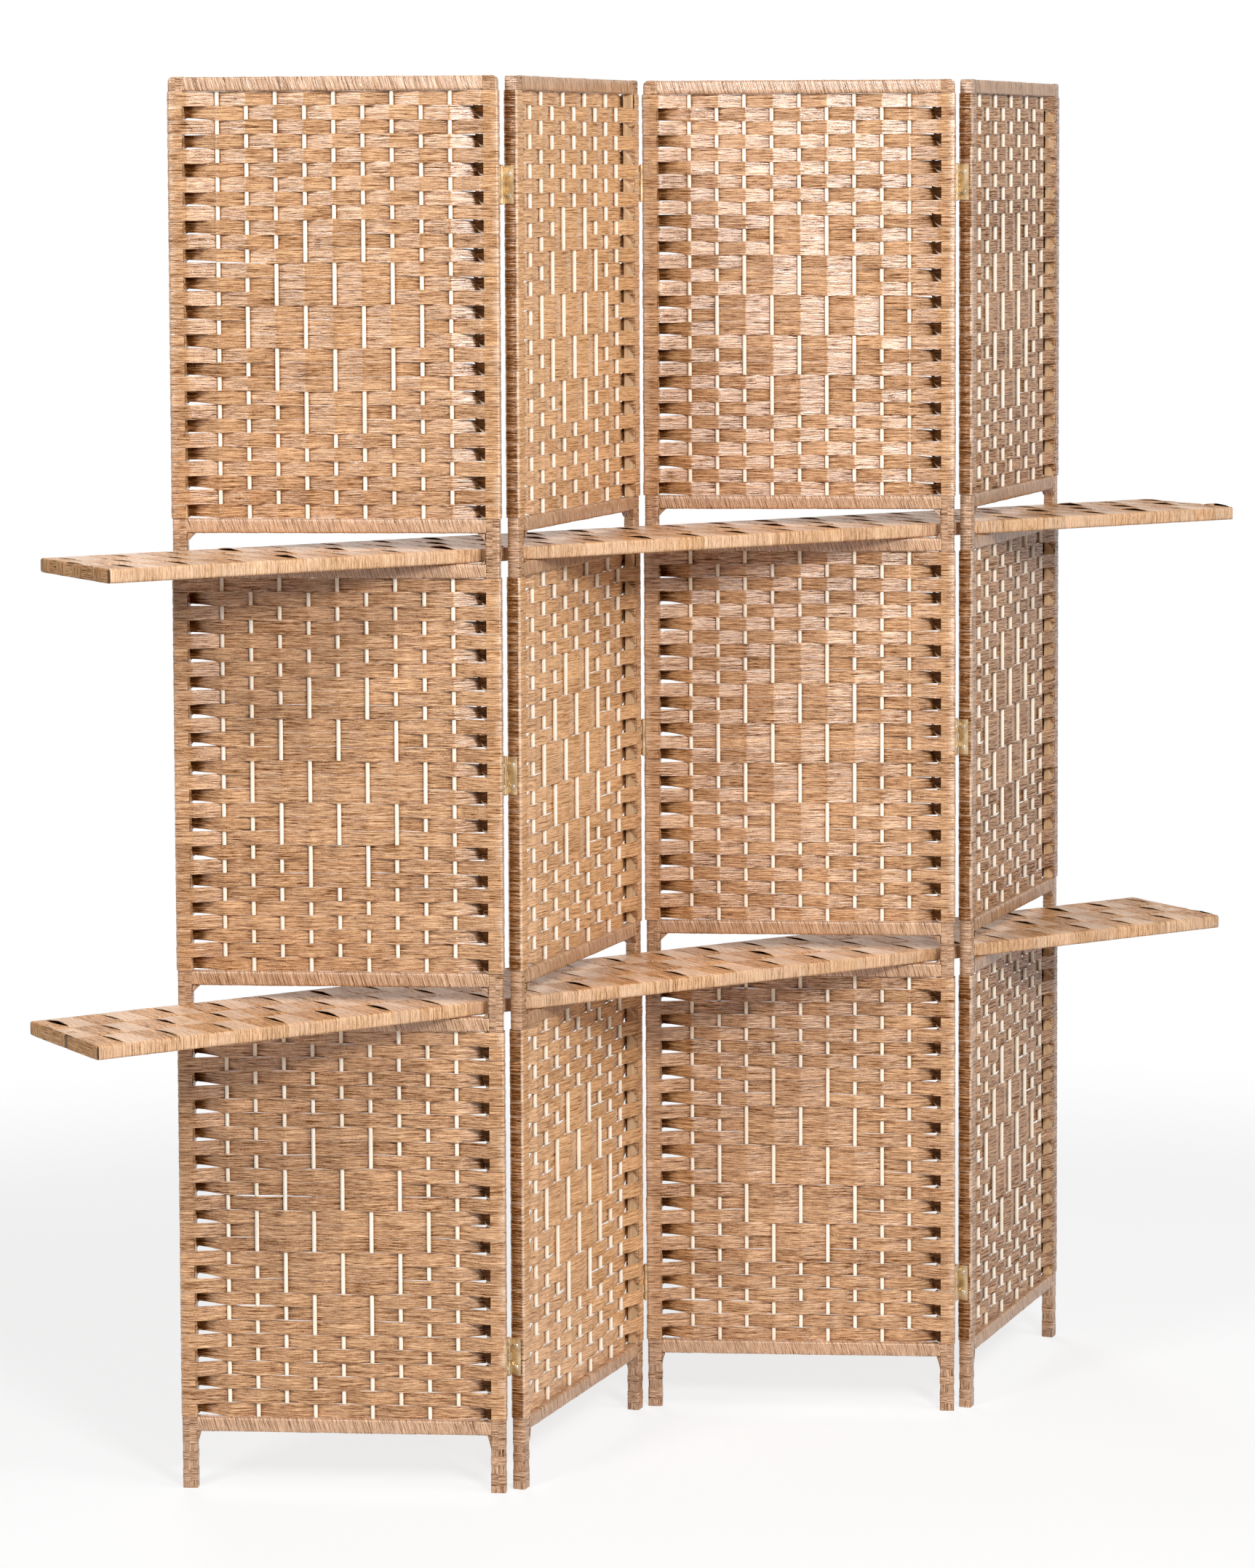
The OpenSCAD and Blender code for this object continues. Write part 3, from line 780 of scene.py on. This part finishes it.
def shelf_cover(k, finish):
    """The bands round a shelf, each next to the last. On the top they part in slits."""
    rng = np.random.default_rng(COVER_SEED + k)
    cloth = Raffia()
    path = shelf_path()
    y = path[:, 0] + SHELF_W / 2
    on_top = path[:, 1] > SHELF_T / 2 - 0.5
    on_front = smooth((SHELF_EDGE_R - y) / SHELF_EDGE_R)
    third = np.clip((y - SHELF_EDGE_R) // THIRD_D, 0, 2)
    count = math.ceil(SHELF_L / SHELF_BAND) + 1
    middles = [SHELF_W / 2 + (place - 1) * THIRD_D for place in range(3)]
    half = (THIRD_D - SLIT_GAP) / 2

    def boundary(b):
        slant = (SHELF_W / 2 - y) * BAND_SHIFT / THIRD_D
        return -SHELF_L / 2 + FIRST_SLIT + BAND_SHIFT + SHELF_BAND * b + slant

    def slit(b):
        """Half the gap that shows between two bands, in thirds of the depth that take turns."""
        gap = np.full(len(y), BAND_GAP)
        for place, middle in enumerate(middles):
            if (b + place) % 2 == 0:
                wide = rng.uniform(*SLIT_WIDE)
                inside = np.clip(1 - np.abs(y - middle) / half, 0, 1)
                gap = np.where(on_top, np.maximum(gap, wide * inside**0.5 + BAND_GAP), gap)
        return gap

    gaps = [slit(b) for b in range(-1, count + 1)]
    limit = SHELF_L / 2 - END_GAP
    for b in range(-1, count):
        low = np.clip(boundary(b) + gaps[b + 1], -limit, limit)
        high = np.clip(boundary(b + 1) - gaps[b + 2], -limit, limit)
        if (high - low).max() < SHORTEST_BAND:
            continue
        past = y - (middles[1 + b % 2] - THIRD_D / 2)
        hump = np.clip(past / HUMP_RISE, 0, 1) * np.clip((HUMP_LENGTH - past) / HUMP_FALL, 0, 1)
        dip = np.exp(-((past / DIP_HALF) ** 2))
        raised = rng.uniform(*CURL_HEIGHT) * np.clip(gaps[b + 1] - BAND_GAP, 0, 2)
        lift = np.where(on_top, HUMP * hump - DIP * dip, 0)[:, None] + raised[:, None] * CURL
        lift = lift + rng.normal(0, UNEVEN, lift.shape) - WRAP_T / 2
        # painted light on every second square of the top, and a painted highlight on the front edge
        square = np.where(on_top & ((b + third) % 2 == 0), rng.uniform(*SQUARE_LIGHT), 0)
        pale = np.maximum(square, on_front * rng.uniform(*FRONT_HIGHLIGHT))[:, None]
        band(cloth, path, low, high, WRAP_T, rng, across=YZX, cup=SHELF_CUP, lift=lift, pale=pale)
    return cloth.build(f"shelf_{k + 1}_woven_cover", shelf_matrix(k), finish)


def shelf_end(cloth, end, patches, rng):
    """Raffia over the end of a shelf: patches whose strands go over the end, and between them
    strands that run along it."""
    half = SHELF_T / 2 - 0.2
    edge = SHELF_L / 2
    over = [(edge - END_REACH, -half)]
    over += arc(edge - END_R, -(half - END_R), END_R, -90, 5)
    over += arc(edge - END_R, half - END_R, END_R, 0, 5)
    over.append((edge - END_REACH, half))
    over = (np.array(over) * (end, 1))[::end]
    for low, high, is_over in patches:
        low = low - SHELF_W / 2
        high = high - SHELF_W / 2
        if is_over:
            band(cloth, over, low, high, WRAP_T, rng, across=(0, 2, 1), cup=END_CUP)
        else:
            y = np.linspace(low - 1, high + 1, 8)[:, None]
            z = np.linspace(-half, half, 7)
            out = edge + END_OUT + END_BULGE * (1 - (z / half) ** 2)
            strands = somewhere(stack(y, z), rng)
            cloth.grid(stack(end * out, y, z)[::end], strands[::end], rng.uniform(0, 1))


def shelf(k, finish):
    cover = shelf_cover(k, finish)
    rng = np.random.default_rng(END_SEED + k)
    cloth = Raffia()
    for end in (-1, 1):
        shelf_end(cloth, end, UPPER_END if k else LOWER_END, rng)
    ends = cloth.build(f"shelf_{k + 1}_end_wraps", shelf_matrix(k), finish)
    body = "upper_shelf" if k else "lower_shelf"
    for piece in (cover, ends):
        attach(piece, body)
    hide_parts(f"{body}_cover")


# Materials

# Noise on the raffia: features per metre along and across the strands, and octaves
LONG_STREAKS = (26, 900, 1)
SHORT_STREAKS = (105, 950, 0)
SPECKS = (420, 1050, 0)
BUNDLES = (12, 380, 1)
FLECKS = (36, 1000, 1)
PATCHES = (9, 30, 1)
STREAK_PARTS = ((LONG_STREAKS, 0.44), (SHORT_STREAKS, 0.22), (SPECKS, 0.14))
BUNDLE_PART = 0.2
TINT_PART = 0.05  # how far one unit of tint moves the colour along its ramp
# darkest colour of the ramp: the deepest furrows between the strands, and the painted shade of slack
# turns and recesses
FURROW_AND_SHADE = (40, 23, 12)
# colours of the painted highlights
HIGHLIGHT_TONE = (228, 194, 164)
HIGHLIGHT_TONE_LIGHT = (240, 218, 196)
RAFFIA_BUMP = 0.0006
GLOSS_TINT = (0.9, 0.95, 1.0, 1)


def feed(tree, made, inputs):
    """Links sockets to a node's inputs, and sets the others to plain values."""
    for key, value in inputs.items():
        if isinstance(value, bpy.types.NodeSocket):
            tree.links.new(value, made.inputs[key])
        else:
            made.inputs[key].default_value = value


def node(tree, kind, inputs=None, **settings):
    made = tree.nodes.new(kind)
    for key, value in settings.items():
        setattr(made, key, value)
    feed(tree, made, inputs or {})
    return made


def material(name):
    made = bpy.data.materials.new(name)
    made.use_nodes = True
    tree = made.node_tree
    tree.nodes.clear()
    shader = node(tree, "ShaderNodeBsdfPrincipled")
    output = node(tree, "ShaderNodeOutputMaterial", {0: shader.outputs[0]})
    return made, tree, shader, output


def rgb(red, green, blue):
    """A colour given as it looks on screen, as linear light."""

    def linear(c):
        return ((c / 255 + 0.055) / 1.055) ** 2.4 if c > 10 else c / 255 / 12.92

    return (linear(red), linear(green), linear(blue), 1)


def ramp(tree, factor, stops):
    made = node(tree, "ShaderNodeValToRGB", {0: factor})
    elements = made.color_ramp.elements
    while len(elements) < len(stops):
        elements.new(0.5)
    for element, (position, colour) in zip(elements, stops):
        element.position = position
        element.color = colour
    return made.outputs[0]


def maths(tree, operation, *values):
    return node(tree, "ShaderNodeMath", dict(enumerate(values)), operation=operation).outputs[0]


def map_range(tree, value, from_range, to_range, **settings):
    inputs = {
        "Value": value,
        "From Min": from_range[0],
        "From Max": from_range[1],
        "To Min": to_range[0],
        "To Max": to_range[1],
    }
    return node(tree, "ShaderNodeMapRange", inputs, **settings).outputs[0]


def scaled(tree, vector, scale):
    return node(tree, "ShaderNodeVectorMath", {0: vector, 1: scale}, operation="MULTIPLY").outputs[0]


def attribute(tree, name):
    return node(tree, "ShaderNodeAttribute", attribute_name=name).outputs["Fac"]


def bump(tree, height, strength, distance):
    inputs = {"Height": height, "Strength": strength, "Distance": distance}
    return node(tree, "ShaderNodeBump", inputs).outputs[0]


def strand_noise(tree, along, across, detail):
    """Noise drawn out along the strands."""
    uv = node(tree, "ShaderNodeUVMap", uv_map="strand").outputs[0]
    inputs = {
        "Vector": scaled(tree, uv, (along, across, 1)),
        "Scale": 1.0,
        "Detail": detail,
        "Roughness": 0.6,
    }
    return node(tree, "ShaderNodeTexNoise", inputs, noise_dimensions="2D").outputs[0]


def raffia_material(name, dark, middle, light, gloss):
    """Paper raffia: flat ribbons of fine parallel strands, with a soft gloss that is narrow along
    the strands and wide across them. gloss is its index of refraction."""
    made, tree, shader, _ = material(name)
    bundle = strand_noise(tree, *BUNDLES)
    mix = maths(tree, "MULTIPLY", bundle, BUNDLE_PART)
    for size, part in STREAK_PARTS:
        mix = maths(tree, "MULTIPLY_ADD", strand_noise(tree, *size), part, mix)
    furrow = map_range(tree, strand_noise(tree, *FLECKS), (0.24, 0.38), (-0.15, 0))
    streak = maths(tree, "ADD", mix, furrow)
    centred = maths(tree, "ADD", streak, -TINT_PART / 2)
    # the tint holds each strip's own tone, and the painted light and shade of panels, sides, recesses
    # and turns
    shade = maths(tree, "MULTIPLY_ADD", attribute(tree, "tint"), TINT_PART, centred)
    stops = [(0.08, rgb(*FURROW_AND_SHADE)), (0.32, rgb(*dark)), (0.5, rgb(*middle)), (0.66, rgb(*light))]
    colour = ramp(tree, shade, stops)
    # painted highlights: where a point is pale, its colour goes over to these lighter tones
    stops = [(0.3, rgb(*middle)), (0.46, rgb(*HIGHLIGHT_TONE)), (0.66, rgb(*HIGHLIGHT_TONE_LIGHT))]
    highlight_colour = ramp(tree, streak, stops)
    mixed = {0: attribute(tree, "pale"), 6: colour, 7: highlight_colour}
    highlighted = node(tree, "ShaderNodeMix", mixed, data_type="RGBA")
    wear = maths(tree, "MULTIPLY_ADD", strand_noise(tree, *PATCHES), 0.3, 0.86)
    grey = node(tree, "ShaderNodeCombineColor", {0: wear, 1: wear, 2: wear})
    mixed = {0: 1.0, 6: highlighted.outputs[2], 7: grey.outputs[0]}
    toned = node(tree, "ShaderNodeMix", mixed, data_type="RGBA", blend_type="MULTIPLY")
    tangent = node(tree, "ShaderNodeTangent", direction_type="UV_MAP", uv_map="strand")
    feed(tree, shader, {
        "Base Color": toned.outputs[2],
        "Roughness": maths(tree, "MULTIPLY_ADD", bundle, 0.2, 0.2),
        # the gloss fades where the tint is dark, so also under the painted shade
        "Specular IOR Level": map_range(tree, shade, (0.34, 0.48), (0.02, 0.5)),
        "Normal": bump(tree, streak, 1.0, RAFFIA_BUMP),
        "Tangent": tangent.outputs[0],
        "Anisotropic": 0.7,
        "Anisotropic Rotation": 0.25,
        "IOR": gloss,
        "Specular Tint": GLOSS_TINT,
    })
    return made


def wood_material(name, dark, light, grain):
    """Wood with grain features per metre along each axis."""
    made, tree, shader, _ = material(name)
    place = node(tree, "ShaderNodeTexCoord").outputs["Object"]
    inputs = {"Vector": scaled(tree, place, grain), "Scale": 1.0, "Detail": 3}
    noise = node(tree, "ShaderNodeTexNoise", inputs).outputs[0]
    feed(tree, shader, {
        "Base Color": ramp(tree, noise, [(0.35, rgb(*dark)), (0.65, rgb(*light))]),
        "Roughness": maths(tree, "MULTIPLY_ADD", noise, 0.2, 0.4),
        "Normal": bump(tree, noise, 0.4, 0.0003),
    })
    return made


def metal_material(name, dark, light, roughness):
    """Tarnished metal, whose roughness wanders a little round a value."""
    made, tree, shader, _ = material(name)
    place = node(tree, "ShaderNodeTexCoord").outputs["Object"]
    noise = node(tree, "ShaderNodeTexNoise", {"Vector": place, "Scale": 90.0, "Detail": 3}).outputs[0]
    feed(tree, shader, {
        "Base Color": ramp(tree, noise, [(0.3, rgb(*dark)), (0.7, rgb(*light))]),
        "Roughness": maths(tree, "MULTIPLY_ADD", noise, 0.16, roughness - 0.08),
        "Normal": bump(tree, noise, 0.3, 0.0004),
        "Metallic": 1.0,
    })
    return made


woven = raffia_material("woven_raffia", (104, 61, 26), (184, 133, 84), (236, 188, 140), 1.8)
binding = raffia_material("raffia_binding", (96, 60, 32), (178, 134, 96), (224, 184, 150), 1.8)
shelf_finish = raffia_material("shelf_raffia", (104, 64, 30), (204, 150, 98), (240, 194, 148), 1.15)
stick_wood = wood_material("stick_wood", (252, 238, 214), (255, 250, 238), (400, 400, 12))
frame_wood = wood_material("frame_wood", (226, 184, 136), (244, 208, 166), (300, 300, 12))
# painted shade: the wood inside the shelves is dark, so that the slits in their covers look like deep
# shadow
bound_wood = wood_material("bound_wood", (58, 38, 24), (92, 62, 40), (12, 300, 300))
hinge_brass = metal_material("hinge_brass", (176, 148, 110), (228, 202, 162), 0.26)
pin_brass = metal_material("pin_brass", (176, 142, 104), (226, 192, 150), 0.24)
screw_brass = metal_material("screw_brass", (176, 160, 140), (224, 212, 194), 0.22)
FINISHES = (
    ("_sticks", stick_wood), ("_leaves", hinge_brass), ("_pins", pin_brass), ("_screws", screw_brass),
)


def finish_of(name):
    """What a CAD node is made of, by the end of its name or by its body."""
    for end, finish in FINISHES:
        if name.endswith(end):
            return finish
    return bound_wood if name.startswith(("lower_shelf", "upper_shelf")) else frame_wood


for name, thing in nodes.items():
    thing.data.materials.clear()
    thing.data.materials.append(finish_of(name))

for panel in (1, 2, 3, 4):
    for field in range(3):
        weave(panel, field, woven)
    frame_bindings(panel, binding)
    corner_wraps(panel, binding)
for k in (0, 1):
    shelf(k, shelf_finish)

# Floor, background, lights and camera

FLOOR_REACH = 12
FLOOR_FADE = (1.5, 2.6)  # from the middle, over which the floor goes over into the background
FLOOR_PALE = 0.75  # how much of the floor that the camera sees is plain white
AMBIENT = 0.06
WHITE = (1, 1, 1, 1)
AIM = (0, 0, 0.9)

# Softboxes: azimuth from the front to the right, elevation, distance, size and power
LAMPS = (
    ("front_softbox", -12, 24, 4.0, 0.8, 104),
    ("left_softbox", -70, 34, 4.0, 0.8, 64),
    ("right_softbox", 30, 45, 5.0, 1.8, 80),
    ("back_softbox", 165, 40, 5.0, 1.8, 70),
)

# The photograph's camera, fitted to the corners of the panels and shelves in it
PHOTO_H = 2156
FOCAL = 6199.9  # pixels
AXIS_ROW = 660  # pixel row that the camera points at
CAMERA_PLACE = (-3.01063, -4.71915, 1.58697)
YAW, PITCH, ROLL = -32.0312, -3.9256, -0.2433
SENSOR = 36


def seen_directly(tree):
    """1 for what the camera sees, also in reflections and through glass, and 0 for other light."""
    path = node(tree, "ShaderNodeLightPath").outputs
    seen = maths(tree, "MAXIMUM", path["Is Camera Ray"], path["Is Glossy Ray"])
    return maths(tree, "MAXIMUM", seen, path["Is Transmission Ray"])


def make_floor():
    mesh = bpy.data.meshes.new("floor")
    far = FLOOR_REACH
    corners = [(-far, -far, 0), (far, -far, 0), (far, far, 0), (-far, far, 0)]
    mesh.from_pydata(corners, [], [(0, 1, 2, 3)])
    floor = bpy.data.objects.new("floor", mesh)
    bpy.context.scene.collection.objects.link(floor)
    made, tree, shader, output = material("floor")
    noise = node(tree, "ShaderNodeTexNoise", {"Scale": 6.0, "Detail": 3}).outputs[0]
    stops = [(0.3, (0.90, 0.90, 0.90, 1)), (0.7, (0.94, 0.94, 0.94, 1))]
    feed(tree, shader, {
        "Base Color": ramp(tree, noise, stops),
        "Roughness": 0.8,
        "Specular IOR Level": 0.2,
    })
    place = node(tree, "ShaderNodeTexCoord").outputs["Object"]
    reach = node(tree, "ShaderNodeVectorMath", {0: place}, operation="LENGTH").outputs["Value"]
    fade = map_range(tree, reach, FLOOR_FADE, (0, 1), interpolation_type="SMOOTHSTEP")
    pale = maths(tree, "MULTIPLY", seen_directly(tree), FLOOR_PALE)
    white = node(tree, "ShaderNodeEmission", {0: WHITE, 1: 1.0})
    lit = node(tree, "ShaderNodeMixShader", {0: pale, 1: shader.outputs[0], 2: white.outputs[0]})
    clear = node(tree, "ShaderNodeBsdfTransparent")
    mixed = node(tree, "ShaderNodeMixShader", {0: fade, 1: lit.outputs[0], 2: clear.outputs[0]})
    feed(tree, output, {0: mixed.outputs[0]})
    mesh.materials.append(made)


def make_world():
    world = bpy.data.worlds.new("studio")
    bpy.context.scene.world = world
    world.use_nodes = True
    tree = world.node_tree
    tree.nodes.clear()
    strength = map_range(tree, seen_directly(tree), (0, 1), (AMBIENT, 1))
    shine = node(tree, "ShaderNodeBackground", {0: WHITE, 1: strength})
    node(tree, "ShaderNodeOutputWorld", {0: shine.outputs[0]})


def make_light(name, azimuth, elevation, distance, size, power):
    """A square softbox that faces the middle of the screen."""
    data = bpy.data.lights.new(name, "AREA")
    data.shape = "RECTANGLE"
    data.size = size
    data.size_y = size
    data.energy = power
    light = bpy.data.objects.new(name, data)
    a = math.radians(azimuth)
    e = math.radians(elevation)
    away = Vector((math.sin(a) * math.cos(e), -math.cos(a) * math.cos(e), math.sin(e)))
    light.location = Vector(AIM) + away * distance
    light.rotation_euler = (-away).to_track_quat("-Z", "Y").to_euler()
    bpy.context.scene.collection.objects.link(light)


def make_camera():
    data = bpy.data.cameras.new("camera")
    data.sensor_width = SENSOR
    data.lens = FOCAL / PHOTO_H * SENSOR
    data.shift_y = (AXIS_ROW - PHOTO_H / 2) / PHOTO_H
    camera = bpy.data.objects.new("camera", data)
    swing = Matrix.Rotation(math.radians(YAW), 4, "Z")
    level = Matrix.Rotation(math.radians(90 + PITCH), 4, "X")
    twist = Matrix.Rotation(math.radians(ROLL), 4, "Z")
    camera.matrix_world = Matrix.Translation(CAMERA_PLACE) @ swing @ level @ twist
    bpy.context.scene.collection.objects.link(camera)
    bpy.context.scene.camera = camera


make_floor()
make_world()
for lamp in LAMPS:
    make_light(*lamp)
make_camera()

view = bpy.context.scene.view_settings
view.view_transform = "Standard"
